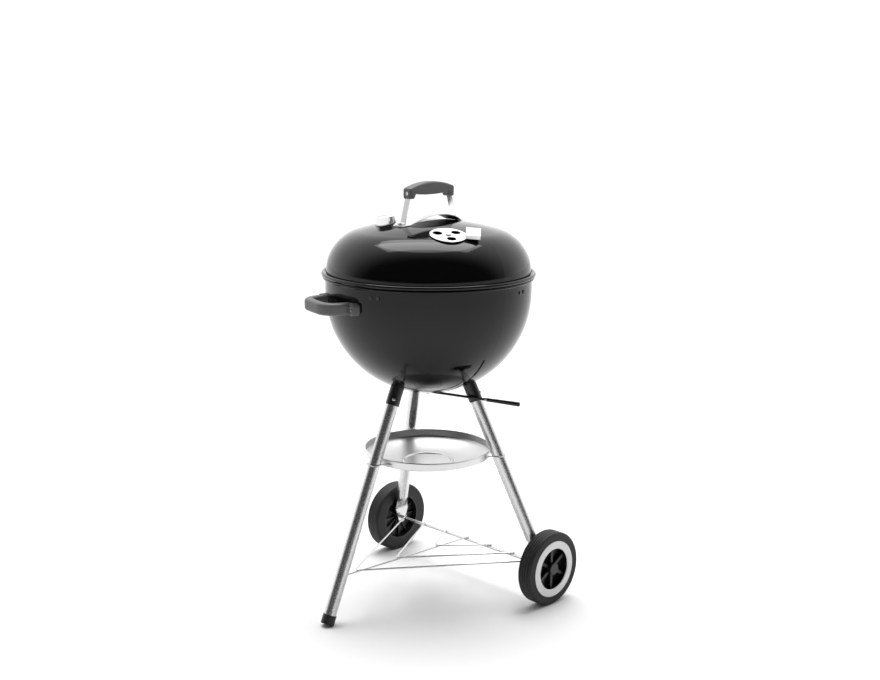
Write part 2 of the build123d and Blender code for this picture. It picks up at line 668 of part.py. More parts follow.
# ---------------------------------------------------------------- lid damper
damper_turn = DAMPER_TAB_AZIMUTH - DAMPER_AZIMUTH
damper_tab_place = Plane(damper_place.location * Location((0, 0, REST_GAP), (0, 0, damper_turn)))
damper_tab_section = Plane(
    origin=damper_tab_place.origin + damper_tab_place.x_dir * (DAMPER_RADIUS - 3),
    x_dir=damper_tab_place.y_dir,
    z_dir=damper_tab_place.x_dir,
)
with BuildPart() as lid_damper_disc:
    with BuildSketch(damper_place.offset(REST_GAP)):
        Circle(DAMPER_RADIUS)
        with PolarLocations(DAMPER_HOLE_CIRCLE, DAMPER_HOLES):
            Circle(DAMPER_HOLE_RADIUS, mode=Mode.SUBTRACT)
        Circle(DAMPER_RIVET_RADIUS + RUNNING_GAP, mode=Mode.SUBTRACT)
    extrude(amount=DAMPER_THICK)
    with BuildSketch(damper_tab_section):
        with BuildLine():
            Polyline(
                (-DAMPER_TAB_WIDTH / 2, 0),
                (-DAMPER_TAB_WIDTH / 2, DAMPER_TAB_FRONT),
                (DAMPER_TAB_WIDTH / 2, DAMPER_TAB_BACK),
                (DAMPER_TAB_WIDTH / 2, 0),
                close=True,
            )
        make_face()
    extrude(amount=DAMPER_TAB_LENGTH)
finish(lid_damper_disc.part, "lid_damper_disc")

damper_top = REST_GAP + DAMPER_THICK + REST_GAP
with BuildPart() as lid_damper_rivet:
    add_rod(damper_place, DAMPER_RIVET_RADIUS, -SHEET - 2 * SEAT_GAP - 2, damper_top)
    add_rod(damper_place, 2 * DAMPER_RIVET_RADIUS, damper_top, damper_top + 2)
    add_rod(damper_place, 2 * DAMPER_RIVET_RADIUS, -SHEET - 2 * SEAT_GAP - 2, -SHEET - 2 * SEAT_GAP)
finish(lid_damper_rivet.part, "lid_damper_rivet")

# ---------------------------------------------------------------- lid thermometer
gauge_seat = 2 * SEAT_GAP
gauge_inner = GAUGE_RADIUS - GAUGE_WALL
dial_base = gauge_seat + GAUGE_BASE + SEAT_GAP
lens_top = gauge_seat + GAUGE_HEIGHT - REST_GAP
needle_base = dial_base + DIAL_THICK + REST_GAP
stem_top = gauge_seat + GAUGE_BASE
with BuildPart() as thermometer_bezel:
    add_rod(gauge_place, GAUGE_RADIUS, gauge_seat, gauge_seat + GAUGE_HEIGHT)
    fillet(thermometer_bezel.edges().filter_by(GeomType.CIRCLE).sort_by(Axis.Z)[-1], radius=GAUGE_WALL / 3)
    cut_hole(gauge_place, gauge_inner, stem_top, gauge_seat + 2 * GAUGE_HEIGHT)
    cut_hole(gauge_place, STEM_RADIUS + SEAT_GAP, -SHEET, GAUGE_HEIGHT)
finish(thermometer_bezel.part, "thermometer_bezel")

with BuildPart() as thermometer_dial:
    add_rod(gauge_place, gauge_inner - SEAT_GAP, dial_base, dial_base + DIAL_THICK)
    cut_hole(gauge_place, NEEDLE_PIN_RADIUS + RUNNING_GAP, 0, GAUGE_HEIGHT)
finish(thermometer_dial.part, "thermometer_dial")

with BuildPart() as thermometer_lens:
    add_rod(gauge_place, gauge_inner - SEAT_GAP, lens_top - LENS_THICK, lens_top)
finish(thermometer_lens.part, "thermometer_lens")

with BuildPart() as thermometer_needle:
    add_rod(gauge_place, NEEDLE_HUB_RADIUS, needle_base, needle_base + 2 * NEEDLE_THICK)
    add_rod(gauge_place, NEEDLE_PIN_RADIUS, needle_base - NEEDLE_PIN_LENGTH, needle_base)
    with BuildSketch(gauge_place.offset(needle_base)):
        with Locations(((NEEDLE_REACH - NEEDLE_HUB_RADIUS) / 2, 0)):
            Rectangle(NEEDLE_REACH + NEEDLE_HUB_RADIUS, NEEDLE_WIDTH)
    extrude(amount=NEEDLE_THICK)
finish(thermometer_needle.part, "thermometer_needle")

with BuildPart() as thermometer_stem:
    add_rod(gauge_place, STEM_RADIUS, -STEM_LENGTH, stem_top)
    fillet(thermometer_stem.edges().filter_by(GeomType.CIRCLE).sort_by(Axis.Z)[0], radius=STEM_RADIUS / 2)
    cut_hole(gauge_place, NEEDLE_PIN_RADIUS + RUNNING_GAP, stem_top - NEEDLE_PIN_LENGTH, stem_top)
finish(thermometer_stem.part, "thermometer_stem")

with BuildPart() as thermometer_nut:
    nut_top = -SHEET - REST_GAP
    add_nut(gauge_place, STEM_NUT_RADIUS, STEM_RADIUS + SEAT_GAP, nut_top - STEM_NUT_HEIGHT, nut_top)
finish(thermometer_nut.part, "thermometer_nut")


# ---------------------------------------------------------------- grates
def add_grate(height, radius, ring_wire, bar_wire, pitch):
    """Add a round grate to the part being built: a ring, its cross bars and its grid of bars."""
    with BuildSketch(SECTION) as ring:
        with Locations((radius, height)):
            RectangleRounded(2 * ring_wire, 2 * ring_wire, 0.6 * ring_wire)
    revolve(ring.sketch, axis=KETTLE_AXIS)
    for side in (-1, 1):
        across = radius * GRATE_CROSS_SHARE
        half = sqrt(radius**2 - across**2) - GRATE_WELD
        place = Plane((0, KETTLE_Y + side * across, height - ring_wire + GRATE_CROSS_WIRE + REST_GAP), z_dir=(1, 0, 0))
        add_rod(place, GRATE_CROSS_WIRE, -half, half)
    lift = ring_wire + bar_wire - GRATE_WELD
    count = int((radius - ring_wire) / pitch)
    for i in range(-count, count + 1):
        half = sqrt(radius**2 - (i * pitch) ** 2) - GRATE_WELD
        add_rod(Plane((i * pitch, KETTLE_Y, height + lift), z_dir=(0, 1, 0)), bar_wire, -half, half)


with BuildPart() as cooking_grate:
    add_grate(COOKING_GRATE_Z, COOKING_GRATE_RADIUS, COOKING_RING_WIRE, COOKING_BAR_WIRE, COOKING_BAR_PITCH)
    for azimuth in (0, 180):
        section = facing_plane(azimuth, sqrt(COOKING_GRATE_RADIUS**2 - GRATE_LOOP_HALF**2), COOKING_GRATE_Z)
        loop = [(-GRATE_LOOP_HALF, 0), (-GRATE_LOOP_HALF, GRATE_LOOP_RISE)]
        loop += [(GRATE_LOOP_HALF, GRATE_LOOP_RISE), (GRATE_LOOP_HALF, 0)]
        add_wire([section.from_local_coords((x, y, 0)) for x, y in loop], COOKING_RING_WIRE, 2 * COOKING_RING_WIRE)
finish(cooking_grate.part, "cooking_grate")

charcoal_radius = bowl_radius_at(CHARCOAL_GRATE_Z, SHEET + CHARCOAL_RING_WIRE + 2 * REST_GAP)
with BuildPart() as charcoal_grate:
    add_grate(CHARCOAL_GRATE_Z, charcoal_radius, CHARCOAL_RING_WIRE, CHARCOAL_BAR_WIRE, CHARCOAL_BAR_PITCH)
finish(charcoal_grate.part, "charcoal_grate")

# ---------------------------------------------------------------- legs, sockets and push buttons
leg_top = LEG_FOOT_RADIUS * SPLAY_SIN + BOWL_BELT_Z * SPLAY_COS - BOWL_RADIUS - LEG_TOP_CLEAR
socket_start = SOCKET_END_Z / SPLAY_COS
crimp_start = (AXLE_Z + PADDLE_TOP + CRIMP_LENGTH) / SPLAY_COS
foot_start = CAP_START + CAP_BASE + SEAT_GAP
leg_bore = LEG_RADIUS - LEG_WALL
flange_top = sqrt(leg_bore**2 - BUTTON_FLANGE_RADIUS**2) - REST_GAP
flange_base = flange_top - BUTTON_FLANGE_THICK
spring_floor = sqrt(leg_bore**2 - (SPRING_WIDTH / 2) ** 2) - REST_GAP
axle_place = Plane(origin=(0, AXLE_Y, AXLE_Z), z_dir=(1, 0, 0))
shelf_back_z = AXLE_Z + AXLE_RADIUS + SHELF_WIRE + SEAT_GAP
shelf_back_y = AXLE_Y + SHELF_WIRE_OVERHANG
spine_front_y = KETTLE_Y - LEG_FOOT_RADIUS + SHELF_FRONT_Z * tan(radians(LEG_SPLAY))
spine_front = Vector(0, spine_front_y, SHELF_FRONT_Z)
spine_run = Vector(0, shelf_back_y, shelf_back_z) - spine_front
spine_place = Plane(spine_front, z_dir=spine_run)

for name, azimuth in LEG_AZIMUTHS.items():
    with BuildPart() as leg_socket:
        add_rod(leg_plane(azimuth, 0), SOCKET_RADIUS, socket_start, leg_top + 4 * LEG_TOP_CLEAR)
        cut_hole(leg_plane(azimuth, 0), SOCKET_BORE, 0, 2 * leg_top)
        add(bowl_clear, mode=Mode.SUBTRACT)
        cut_hole(button_plane(azimuth), BUTTON_RADIUS + RUNNING_GAP, 0, 2 * SOCKET_RADIUS)
    finish(leg_socket.part, f"leg_socket_{name}")

    with BuildPart() as leg:
        if name == "front":
            add_rod(leg_plane(azimuth, 0), LEG_RADIUS, foot_start, leg_top)
            cut_hole(leg_plane(azimuth, 0), leg_bore, foot_start, leg_top)
            cut_hole(spine_place, SHELF_WIRE + SEAT_GAP, 0, 2 * LEG_RADIUS)
        else:
            side = 1 if name == "right" else -1
            add_rod(leg_plane(azimuth, 0), LEG_RADIUS, crimp_start, leg_top)
            cut_hole(leg_plane(azimuth, 0), leg_bore, crimp_start + LEG_WALL, leg_top)
            with BuildSketch(leg_plane(azimuth, crimp_start)):
                Circle(LEG_RADIUS)
            with BuildSketch(Plane((side * PADDLE_X, AXLE_Y, AXLE_Z + PADDLE_TOP))):
                RectangleRounded(PADDLE_THICK, PADDLE_WIDTH, PADDLE_THICK / 2 - SEAT_GAP)
            loft()
            with BuildSketch(Plane.YZ.offset(side * PADDLE_X)):
                with BuildLine():
                    Polyline(
                        (AXLE_Y - PADDLE_TIP_RADIUS, AXLE_Z),
                        (AXLE_Y - PADDLE_WIDTH / 2, AXLE_Z + PADDLE_TOP),
                        (AXLE_Y + PADDLE_WIDTH / 2, AXLE_Z + PADDLE_TOP),
                        (AXLE_Y + PADDLE_TIP_RADIUS, AXLE_Z),
                    )
                    CenterArc((AXLE_Y, AXLE_Z), PADDLE_TIP_RADIUS, 180, 180)
                make_face()
            extrude(amount=PADDLE_THICK / 2, both=True)
            cut_hole(axle_place, AXLE_RADIUS + SEAT_GAP, side * WHEEL_OUTER_X, 0)
        cut_hole(button_plane(azimuth), BUTTON_RADIUS + RUNNING_GAP, 0, 2 * LEG_RADIUS)
    finish(leg.part, f"leg_{name}")

    with BuildPart() as leg_button:
        add_rod(button_plane(azimuth), BUTTON_FLANGE_RADIUS, flange_base, flange_top)
        add_rod(button_plane(azimuth), BUTTON_RADIUS, flange_base, SOCKET_RADIUS + BUTTON_PROUD)
        tip = leg_button.faces().sort_by(Axis(button_plane(azimuth).origin, button_plane(azimuth).z_dir))[-1]
        fillet(tip.edges(), radius=BUTTON_RADIUS / 2)
    finish(leg_button.part, f"leg_button_{name}")

    with BuildPart() as leg_spring:
        with BuildSketch(button_side_plane(azimuth)):
            with BuildLine():
                FilletPolyline(
                    (BUTTON_RADIUS, flange_base - REST_GAP - SPRING_THICK / 2),
                    (-SPRING_LENGTH, flange_base / 3),
                    (-SPRING_LENGTH, -flange_base / 2),
                    (BUTTON_RADIUS, SPRING_THICK / 2 - spring_floor),
                    radius=4,
                )
                offset(amount=SPRING_THICK / 2)
            make_face()
        extrude(amount=SPRING_WIDTH / 2, both=True)
    finish(leg_spring.part, f"leg_spring_{name}")

with BuildPart() as foot_cap:
    add_rod(leg_plane(270, 0), CAP_RADIUS, CAP_START, CAP_START + CAP_LENGTH)
    cut_hole(leg_plane(270, 0), LEG_RADIUS + SEAT_GAP, CAP_START + CAP_BASE, CAP_START + 2 * CAP_LENGTH)
    split(bisect_by=Plane.XY, keep=Keep.TOP)
finish(foot_cap.part, "foot_cap")

# ---------------------------------------------------------------- axle and wheels
with BuildPart() as axle:
    add_rod(axle_place, AXLE_RADIUS, -AXLE_REACH, AXLE_REACH)
    chamfer(axle.edges().filter_by(GeomType.CIRCLE), length=AXLE_RADIUS / 5)
finish(axle.part, "axle")

push_nut_x = HUB_BOSS_OUTER_X + REST_GAP
with BuildPart() as axle_push_nuts:
    for side in (-1, 1):
        start = push_nut_x if side > 0 else -push_nut_x - PUSH_NUT_THICK
        add_rod(axle_place, PUSH_NUT_RADIUS, start, start + PUSH_NUT_THICK)
        cut_hole(axle_place, AXLE_RADIUS + SEAT_GAP, start, start + PUSH_NUT_THICK)
finish(axle_push_nuts.part, "axle_push_nuts")

hub_radius = TYRE_BORE - SEAT_GAP
hub_bore = AXLE_RADIUS + RUNNING_GAP
boss_inner_x = PADDLE_X + PADDLE_THICK / 2 + REST_GAP
trim_back_x = WHEEL_OUTER_X + REST_GAP - TRIM_THICK
rim_bore = hub_radius - HUB_RIM_WALL
cap_base_x = HUB_CAP_OUTER_X - HUB_CAP_DEPTH
tread_middle_x = (WHEEL_INNER_X + WHEEL_OUTER_X) / 2
for name, side in (("right", 1), ("left", -1)):
    # Each wheel is drawn in its axle section: local x runs outward along the axle, local y away from it.
    wheel_section = Plane(origin=(0, AXLE_Y, AXLE_Z), x_dir=(side, 0, 0), z_dir=(0, side, 0))
    wheel_face = Plane(origin=(0, AXLE_Y, AXLE_Z), z_dir=(side, 0, 0))

    with BuildPart() as wheel_tyre:
        with BuildSketch(wheel_section):
            with BuildLine():
                Polyline(
                    (WHEEL_INNER_X, TYRE_BORE),
                    (trim_back_x - SEAT_GAP, TYRE_BORE),
                    (trim_back_x - SEAT_GAP, TRIM_OUTER_RADIUS + SEAT_GAP),
                    (WHEEL_OUTER_X, TRIM_OUTER_RADIUS + SEAT_GAP),
                    (WHEEL_OUTER_X, WHEEL_RADIUS),
                    (WHEEL_INNER_X, WHEEL_RADIUS),
                    close=True,
                )
            tyre_face = make_face()
            fillet(tyre_face.vertices().group_by(Axis.Y)[-1], radius=TYRE_SHOULDER)
            with Locations((tread_middle_x, WHEEL_RADIUS)):
                with GridLocations(TREAD_PITCH, 0, TREAD_GROOVES, 1):
                    Rectangle(TREAD_GROOVE_WIDTH, 2 * TREAD_GROOVE_DEPTH, mode=Mode.SUBTRACT)
        revolve(axis=AXLE_AXIS)
    finish(wheel_tyre.part, f"wheel_tyre_{name}")

    with BuildPart() as wheel_trim:
        add_rod(wheel_face, TRIM_OUTER_RADIUS, trim_back_x, trim_back_x + TRIM_THICK)
        fillet(wheel_trim.faces().sort_by(Axis((0, 0, 0), (side, 0, 0)))[-1].edges(), radius=TRIM_THICK / 3)
        cut_hole(wheel_face, TRIM_INNER_RADIUS, 0, 2 * WHEEL_OUTER_X)
    finish(wheel_trim.part, f"wheel_trim_{name}")

    with BuildPart() as wheel_hub:
        add_rod(wheel_face, hub_radius, WHEEL_INNER_X, trim_back_x - SEAT_GAP)
        cut_hole(wheel_face, rim_bore, WHEEL_INNER_X, HUB_WEB_X)
        cut_hole(wheel_face, rim_bore, HUB_WEB_X + HUB_WEB_THICK, trim_back_x)
        with BuildSketch(wheel_face.offset(HUB_WEB_X + HUB_WEB_THICK)):
            with PolarLocations(rim_bore / 2, HUB_SPOKES):
                Rectangle(rim_bore + HUB_RIM_WALL, HUB_SPOKE_WIDTH)
        extrude(amount=HUB_SPOKE_DEPTH)
        with BuildSketch(wheel_face.offset(HUB_WEB_X)):
            with PolarLocations(rim_bore / 2, 2 * HUB_SPOKES):
                Rectangle(rim_bore + HUB_RIM_WALL, HUB_RIB_WIDTH)
        extrude(amount=-HUB_RIB_DEPTH)
        cut_hole(wheel_face, HUB_CAP_RADIUS + SEAT_GAP, cap_base_x - SEAT_GAP, WHEEL_OUTER_X)
        add_rod(wheel_face, HUB_BOSS_RADIUS, boss_inner_x, HUB_BOSS_OUTER_X)
        cut_hole(wheel_face, hub_bore, 0, 2 * WHEEL_OUTER_X)
    finish(wheel_hub.part, f"wheel_hub_{name}")

    with BuildPart() as wheel_cap:
        add_rod(wheel_face, HUB_CAP_RADIUS, cap_base_x, HUB_CAP_OUTER_X)
        fillet(wheel_cap.faces().sort_by(Axis((0, 0, 0), (side, 0, 0)))[-1].edges(), radius=HUB_CAP_WALL)
        cut_hole(wheel_face, HUB_CAP_RADIUS - HUB_CAP_WALL, cap_base_x, HUB_CAP_OUTER_X - HUB_CAP_WALL)
    finish(wheel_cap.part, f"wheel_cap_{name}")

# ---------------------------------------------------------------- wire shelf
shelf_bar_z = AXLE_Z + AXLE_RADIUS - SHELF_BAR
shelf_bar_y = AXLE_Y - sqrt((AXLE_RADIUS + SHELF_BAR + 2 * SEAT_GAP) ** 2 - (AXLE_Z - shelf_bar_z) ** 2)
shelf_slope = (SHELF_FRONT_Z - shelf_back_z) / (shelf_back_y - spine_front_y)
with BuildPart() as shelf_back_bar:
    add_rod(Plane((0, shelf_bar_y, shelf_bar_z), z_dir=(1, 0, 0)), SHELF_BAR, -SHELF_BAR_HALF, SHELF_BAR_HALF)
finish(shelf_back_bar.part, "shelf_back_bar")

with BuildPart() as shelf_spine:
    add_rod(spine_place, SHELF_WIRE, 0, spine_run.length)
finish(shelf_spine.part, "shelf_spine")

for name, apex, reach in SHELF_VEES:
    apex_y = KETTLE_Y + apex
    apex_z = shelf_back_z + (shelf_back_y - apex_y) * shelf_slope + 2 * (SHELF_WIRE + REST_GAP)
    with BuildPart() as shelf_vee:
        add_wire(
            [(-reach, shelf_back_y, shelf_back_z), (0, apex_y, apex_z), (reach, shelf_back_y, shelf_back_z)],
            SHELF_WIRE,
            SHELF_BEND,
        )
    finish(shelf_vee.part, f"shelf_{name}_wire")

# ---------------------------------------------------------------- ash catcher
band_foot_z = DISH_RIM_Z - DISH_BAND
band_foot_radius = DISH_RADIUS - DISH_ROLL
wall_middle = ((band_foot_radius + DISH_BEAD_RADIUS) / 2, DISH_FLOOR_Z + (band_foot_z - DISH_FLOOR_Z) / 4)
bead_half = DISH_BEAD_WIDTH / 2
with BuildPart() as ash_catcher:
    with BuildSketch(SECTION):
        with BuildLine():
            Line((DISH_RADIUS - DISH_ROLL, DISH_RIM_Z), (band_foot_radius, band_foot_z))
            ThreePointArc((band_foot_radius, band_foot_z), wall_middle, (DISH_BEAD_RADIUS + bead_half, DISH_FLOOR_Z))
            ThreePointArc(
                (DISH_BEAD_RADIUS + bead_half, DISH_FLOOR_Z),
                (DISH_BEAD_RADIUS, DISH_FLOOR_Z + DISH_BEAD_HEIGHT),
                (DISH_BEAD_RADIUS - bead_half, DISH_FLOOR_Z),
            )
            Line((DISH_BEAD_RADIUS - bead_half, DISH_FLOOR_Z), (0, DISH_FLOOR_Z))
            offset(amount=DISH_SHEET / 2)
        make_face()
        with Locations((0, DISH_FLOOR_Z)):
            Rectangle(4 * DISH_SHEET, 4 * DISH_SHEET, align=(Align.MAX, Align.CENTER), mode=Mode.SUBTRACT)
    revolve(axis=KETTLE_AXIS)
    with BuildSketch(SECTION):
        with Locations((DISH_RADIUS - DISH_ROLL, DISH_RIM_Z)):
            Circle(DISH_ROLL)
    revolve(axis=KETTLE_AXIS)
finish(ash_catcher.part, "ash_catcher")

clip_inner = DISH_RADIUS + CLIP_WIRE + REST_GAP
clip_leg = LEG_FOOT_RADIUS - CLIP_Z * tan(radians(LEG_SPLAY))
clip_half = LEG_RADIUS + CLIP_WIRE + REST_GAP
clip_outer = clip_leg + LEG_RADIUS / SPLAY_COS + CLIP_WIRE + REST_GAP
with BuildPart() as ash_catcher_clips:
    for azimuth in LEG_AZIMUTHS.values():
        level = level_plane(CLIP_Z, azimuth)
        tip_x = sqrt(clip_inner**2 - CLIP_ARM**2)
        arm = [(tip_x, CLIP_ARM), (clip_inner, clip_half), (clip_outer, clip_half)]
        outline = arm + [(x, -y) for x, y in reversed(arm)]
        points = [level.from_local_coords((x, y, 0)) for x, y in outline]
        add_wire(points, CLIP_WIRE, [4, clip_half * 0.85, clip_half * 0.85, 4])
finish(ash_catcher_clips.part, "ash_catcher_clips")

# ---------------------------------------------------------------- ash lever and sweeper
lever_level = level_plane(LEVER_PIVOT_Z, LEVER_AZIMUTH)
lever_start = around(LEVER_AZIMUTH, LEVER_PLATE_HALF - LEVER_WIRE, LEVER_PIVOT_Z)
lever_tip = around(LEVER_AZIMUTH, LEVER_REACH, LEVER_END_Z)
lever_run = lever_tip - lever_start
lever_place = Plane(lever_start, z_dir=lever_run)
grip_start = lever_run.length - LEVER_GRIP_LENGTH
shaft_shoulder = LEVER_PIVOT_Z + LEVER_PLATE_THICK / 2 + SEAT_GAP
nut_top = LEVER_PIVOT_Z - LEVER_PLATE_THICK / 2 - SEAT_GAP
lever_nut_places = [lever_level, shifted(lever_level, x=-LEVER_NUT_SPACING)]

with BuildPart() as ash_sweeper:
    add(bowl_body(SHEET + SWEEPER_GAP))
    add(bowl_body(SHEET + SWEEPER_GAP + SWEEPER_THICK), mode=Mode.SUBTRACT)
    with BuildSketch(level_plane(bowl_bottom_z)):
        Circle(SWEEPER_HUB_RADIUS)
        for azimuth in LEG_AZIMUTHS.values():
            with BuildLine(Plane.XY.rotated((0, 0, azimuth))):
                Polyline(
                    (0, -SWEEPER_INNER_WIDTH / 2),
                    (SWEEPER_REACH, -SWEEPER_OUTER_WIDTH / 2),
                    (SWEEPER_REACH, SWEEPER_OUTER_WIDTH / 2),
                    (0, SWEEPER_INNER_WIDTH / 2),
                    close=True,
                )
            make_face()
    extrude(amount=BOWL_RADIUS / 3, mode=Mode.INTERSECT)
    add_rod(shaft_place, SHAFT_RADIUS, shaft_shoulder, bowl_bottom_z + SHAFT_TOP)
    add_rod(shaft_place, SHAFT_END_RADIUS, nut_top - LEVER_NUT_HEIGHT, shaft_shoulder)
finish(ash_sweeper.part, "ash_sweeper")

with BuildPart() as ash_lever:
    with BuildSketch(lever_level.offset(-LEVER_PLATE_THICK / 2)):
        RectangleRounded(2 * LEVER_PLATE_HALF, LEVER_PLATE_WIDTH, LEVER_PLATE_WIDTH / 3)
    extrude(amount=LEVER_PLATE_THICK)
    add_rod(lever_place, LEVER_WIRE, 0, lever_run.length - LEVER_WIRE)
    for place in lever_nut_places:
        cut_hole(place, SHAFT_END_RADIUS + SEAT_GAP, -LEVER_PLATE_THICK, LEVER_PLATE_THICK)
finish(ash_lever.part, "ash_lever")

with BuildPart() as ash_lever_ferrule:
    add_rod(lever_place, LEVER_WIRE + SEAT_GAP + FERRULE_WALL, grip_start - FERRULE_LENGTH - SEAT_GAP, grip_start - SEAT_GAP)
    cut_hole(lever_place, LEVER_WIRE + SEAT_GAP, 0, grip_start)
finish(ash_lever_ferrule.part, "ash_lever_ferrule")

with BuildPart() as ash_lever_grip:
    with BuildSketch(lever_place.offset(grip_start)):
        Circle(LEVER_WIRE + SEAT_GAP + FERRULE_WALL)
    with BuildSketch(lever_place.offset(lever_run.length - LEVER_GRIP_RADIUS)):
        Circle(LEVER_GRIP_RADIUS)
    loft()
    add_rod(lever_place, LEVER_GRIP_RADIUS, lever_run.length - LEVER_GRIP_RADIUS, lever_run.length)
    fillet(ash_lever_grip.faces().sort_by(Axis(lever_start, lever_run))[-1].edges(), radius=LEVER_WIRE)
    cut_hole(lever_place, LEVER_WIRE + SEAT_GAP, 0, lever_run.length - LEVER_WIRE + SEAT_GAP)
finish(ash_lever_grip.part, "ash_lever_grip")

with BuildPart() as ash_lever_nuts:
    add_nut(lever_level.offset(-LEVER_PIVOT_Z), LEVER_NUT_RADIUS + 1, SHAFT_END_RADIUS + SEAT_GAP, nut_top - LEVER_NUT_HEIGHT, nut_top)
    screw_place = lever_nut_places[1]
    add_rod(screw_place, LEVER_NUT_RADIUS, -LEVER_PLATE_THICK / 2 - SEAT_GAP - LEVER_NUT_HEIGHT, -LEVER_PLATE_THICK / 2 - SEAT_GAP)
    add_rod(screw_place, SHAFT_END_RADIUS, -LEVER_PLATE_THICK / 2 - SEAT_GAP, LEVER_PLATE_THICK / 2)
finish(ash_lever_nuts.part, "ash_lever_nuts")
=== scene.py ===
"""Looks of a kettle charcoal grill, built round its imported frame.

The frame's own pieces carry procedural finishes, and the pieces made here add what the frame leaves plain: the
gauge's scale, the ribs of the damper's tab and the raised rings of the tyres' side walls.
"""

import json
import logging
import math
from dataclasses import dataclass, field
from enum import Enum

import bmesh
import bpy
from mathutils import Matrix, Vector

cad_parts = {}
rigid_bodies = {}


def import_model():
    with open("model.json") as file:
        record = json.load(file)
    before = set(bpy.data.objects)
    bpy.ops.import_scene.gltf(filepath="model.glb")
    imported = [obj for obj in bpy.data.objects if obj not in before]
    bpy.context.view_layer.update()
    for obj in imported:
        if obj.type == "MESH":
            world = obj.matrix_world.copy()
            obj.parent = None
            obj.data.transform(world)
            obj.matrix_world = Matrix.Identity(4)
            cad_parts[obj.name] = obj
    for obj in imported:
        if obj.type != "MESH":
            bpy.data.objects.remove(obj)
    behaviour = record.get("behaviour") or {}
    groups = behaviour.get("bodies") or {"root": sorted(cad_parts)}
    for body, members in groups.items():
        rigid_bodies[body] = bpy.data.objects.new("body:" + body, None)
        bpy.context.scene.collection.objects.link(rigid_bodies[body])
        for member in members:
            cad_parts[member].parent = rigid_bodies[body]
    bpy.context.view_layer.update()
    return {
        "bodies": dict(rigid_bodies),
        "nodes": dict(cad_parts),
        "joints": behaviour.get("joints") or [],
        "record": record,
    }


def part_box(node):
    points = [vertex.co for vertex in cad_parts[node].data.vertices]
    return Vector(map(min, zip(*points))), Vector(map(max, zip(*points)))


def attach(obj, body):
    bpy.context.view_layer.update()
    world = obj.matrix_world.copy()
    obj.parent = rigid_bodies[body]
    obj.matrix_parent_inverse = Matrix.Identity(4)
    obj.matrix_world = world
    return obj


LOG = logging.getLogger("grill")
RING_STEPS = 128
SECTION_STEPS = 10
SENSOR_WIDTH = 36.0


class Grain(Enum):
    """How a finish's fine pattern runs: the scale of its noise along X, Y and Z, per metre."""

    FINE = (420.0, 420.0, 420.0)
    PEBBLED = (1500.0, 1500.0, 1500.0)
    DRAWN = (900.0, 900.0, 9.0)
    BRUSHED = (30.0, 1400.0, 900.0)
    SPUN = (30.0, 30.0, 2600.0)
    BROAD = (60.0, 60.0, 60.0)


@dataclass(frozen=True)
class Finish:
    """One surface finish.

    Args:
        slot: The record's material slot it dresses.
        base: Its base colour, as linear grey.
        metallic: 1 for bare metal and 0 for paint, plastic and rubber.
        rough: Its lowest and highest roughness.
        grain: How its pattern runs.
        relief: How strong its bump is.
        spread: How far the pattern lightens or darkens the base colour.
        coat: The weight of a clear coat over it.
        clear: The share of light it lets through.
        bend: Its index of refraction, which sets how much it mirrors.
    """

    slot: str
    base: float
    metallic: float
    rough: tuple[float, float]
    grain: Grain
    relief: float = 0.05
    spread: float = 0.1
    coat: float = 0.0
    clear: float = 0.0
    bend: float = 1.5


FINISHES: tuple[Finish, ...] = (
    Finish("enamel", 0.0015, 0.0, (0.06, 0.11), Grain.BROAD, relief=0.003, spread=0.15, bend=1.36),
    Finish("black_paint", 0.006, 0.0, (0.28, 0.4), Grain.FINE, relief=0.03, spread=0.2),
    Finish("sheet_aluminium", 0.68, 1.0, (0.26, 0.42), Grain.BRUSHED, relief=0.04, spread=0.12),
    Finish("tube_aluminium", 0.62, 1.0, (0.2, 0.34), Grain.DRAWN, relief=0.03, spread=0.1),
    Finish("strap_steel", 0.75, 1.0, (0.16, 0.26), Grain.DRAWN, relief=0.02, spread=0.08),
    Finish("handle_plastic", 0.1, 0.0, (0.42, 0.58), Grain.PEBBLED, relief=0.08, spread=0.12),
    Finish("black_plastic", 0.008, 0.0, (0.38, 0.52), Grain.PEBBLED, relief=0.06, spread=0.2),
    Finish("zinc_steel", 0.55, 1.0, (0.25, 0.42), Grain.FINE, relief=0.03, spread=0.2),
    Finish("plated_wire", 0.62, 1.0, (0.14, 0.26), Grain.FINE, relief=0.02, spread=0.1),
    Finish("bezel_chrome", 0.78, 1.0, (0.05, 0.1), Grain.BROAD, relief=0.004, spread=0.05),
    Finish("dial_face", 0.78, 0.0, (0.45, 0.6), Grain.FINE, relief=0.02, spread=0.05),
    Finish("needle_paint", 0.03, 0.0, (0.3, 0.4), Grain.FINE, relief=0.02, spread=0.1),
    Finish("lens_glass", 0.95, 0.0, (0.0, 0.02), Grain.BROAD, relief=0.0, spread=0.0, clear=1.0),
    Finish("tyre_black", 0.006, 0.0, (0.5, 0.7), Grain.PEBBLED, relief=0.1, spread=0.3),
    Finish("whitewall", 0.8, 0.0, (0.4, 0.55), Grain.FINE, relief=0.04, spread=0.08),
    Finish("hub_black", 0.008, 0.0, (0.34, 0.5), Grain.PEBBLED, relief=0.06, spread=0.2),
)
LOOKS = {finish.slot: finish for finish in FINISHES}
REPAINTED = {"grate_bracket_rivets": "black_paint"}
BUMP_DISTANCE = 0.0004
COAT_ROUGHNESS = 0.04
FLOOR_FINISH = Finish("studio_floor", 0.86, 0.0, (0.85, 0.95), Grain.BROAD, relief=0.0, spread=0.01)


